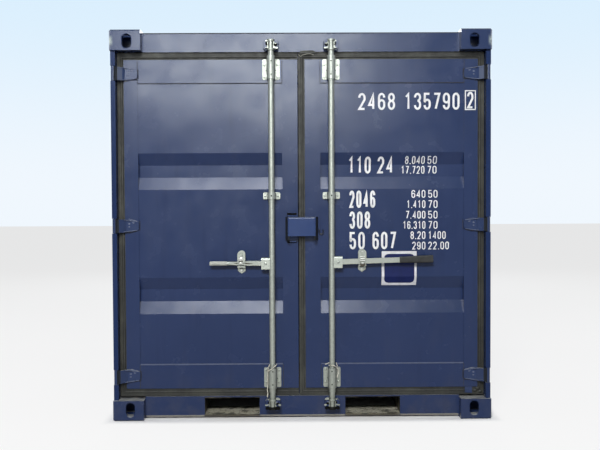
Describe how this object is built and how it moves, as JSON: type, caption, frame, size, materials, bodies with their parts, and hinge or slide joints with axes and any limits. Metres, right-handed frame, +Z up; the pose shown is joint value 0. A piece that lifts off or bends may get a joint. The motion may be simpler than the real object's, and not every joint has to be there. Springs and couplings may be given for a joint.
{
  "type": "storage container with cargo doors",
  "caption": "Short steel storage container with corner castings, corrugated walls, fork pockets and double cargo doors on lock rods.",
  "frame": {"origin": "on the ground, under the middle of the container", "axes": "+Z up, the door end faces -Y, +X to the right seen from the door end"},
  "size_m": [2.2, 2.438, 2.26],
  "materials": {
    "navy_paint": "semi-gloss navy container paint",
    "galvanised_steel": "hot-dip galvanised, dull",
    "seal_rubber": "weathered black rubber",
    "grip_rubber": "matt black rubber",
    "plywood": "sealed hardwood plywood"
  },
  "bodies": {
    "container": {"casting_bottom_door_end_left": "navy_paint", "casting_bottom_door_end_right": "navy_paint", "casting_bottom_back_end_left": "navy_paint", "casting_bottom_back_end_right": "navy_paint", "casting_top_door_end_left": "navy_paint", "casting_top_door_end_right": "navy_paint", "casting_top_back_end_left": "navy_paint", "casting_top_back_end_right": "navy_paint", "door_post_right": "navy_paint", "door_post_left": "navy_paint", "door_header": "navy_paint", "door_sill": "navy_paint", "back_post_right": "navy_paint", "back_post_left": "navy_paint", "back_top_rail": "navy_paint", "back_sill": "navy_paint", "top_side_rail_right": "navy_paint", "top_side_rail_left": "navy_paint", "bottom_side_rail_right": "navy_paint", "bottom_side_rail_left": "navy_paint", "side_wall_right": "navy_paint", "side_wall_left": "navy_paint", "back_wall": "navy_paint", "roof": "navy_paint", "floor_boards": "plywood", "cross_members": "navy_paint", "fork_pocket_right": "navy_paint", "fork_pocket_left": "navy_paint", "upper_cam_keepers": "galvanised_steel", "lower_cam_keepers": "galvanised_steel", "hinge_pins_right": "navy_paint", "hinge_pins_left": "navy_paint"},
    "left_door": {"left_door_frame": "navy_paint", "left_door_panel": "navy_paint", "left_door_seal": "seal_rubber", "left_hinge_blades": "navy_paint", "left_rod_bearings": "galvanised_steel", "left_handle_retainer": "galvanised_steel", "lock_plate": "navy_paint"},
    "right_door": {"right_door_frame": "navy_paint", "right_door_panel": "navy_paint", "right_door_seal": "seal_rubber", "right_hinge_blades": "navy_paint", "right_rod_bearings": "galvanised_steel", "right_handle_retainer": "galvanised_steel", "lock_box": "navy_paint", "lock_box_hook": "navy_paint"},
    "left_rod": {"left_lock_rod": "galvanised_steel"},
    "right_rod": {"right_lock_rod": "galvanised_steel"},
    "left_lever": {"left_handle": "galvanised_steel"},
    "right_lever": {"right_handle": "galvanised_steel", "right_handle_grip": "grip_rubber"},
    "left_hasp": {"left_catch": "galvanised_steel"},
    "right_hasp": {"right_catch": "galvanised_steel"}
  },
  "joints": [
    {"name": "left_door_hinge", "type": "hinge", "parent": "container", "child": "left_door", "pos_m": [-1.084, -1.185, 1.132], "axis": [0, 0, -1], "range_deg": [0, 265]},
    {"name": "left_rod_turn", "type": "hinge", "parent": "left_door", "child": "left_rod", "pos_m": [-0.174, -1.185, 1.132], "axis": [0, 0, -1], "range_deg": [-100, 0]},
    {"name": "left_handle_lift", "type": "hinge", "parent": "left_rod", "child": "left_lever", "pos_m": [-0.211, -1.185, 0.912], "axis": [0, -1, 0], "range_deg": [-6, 0]},
    {"name": "left_catch_swing", "type": "hinge", "parent": "left_door", "child": "left_hasp", "pos_m": [-0.352, -1.198, 0.963], "axis": [0, -1, 0], "range_deg": [-100, 0]},
    {"name": "right_door_hinge", "type": "hinge", "parent": "container", "child": "right_door", "pos_m": [1.084, -1.185, 1.132], "axis": [0, 0, 1], "range_deg": [0, 265]},
    {"name": "right_rod_turn", "type": "hinge", "parent": "right_door", "child": "right_rod", "pos_m": [0.174, -1.185, 1.132], "axis": [0, 0, 1], "range_deg": [-100, 0]},
    {"name": "right_handle_lift", "type": "hinge", "parent": "right_rod", "child": "right_lever", "pos_m": [0.211, -1.185, 0.918], "axis": [0, 1, 0], "range_deg": [-4, 0]},
    {"name": "right_catch_swing", "type": "hinge", "parent": "right_door", "child": "right_hasp", "pos_m": [0.352, -1.198, 0.969], "axis": [0, 1, 0], "range_deg": [-100, 0]}
  ]
}
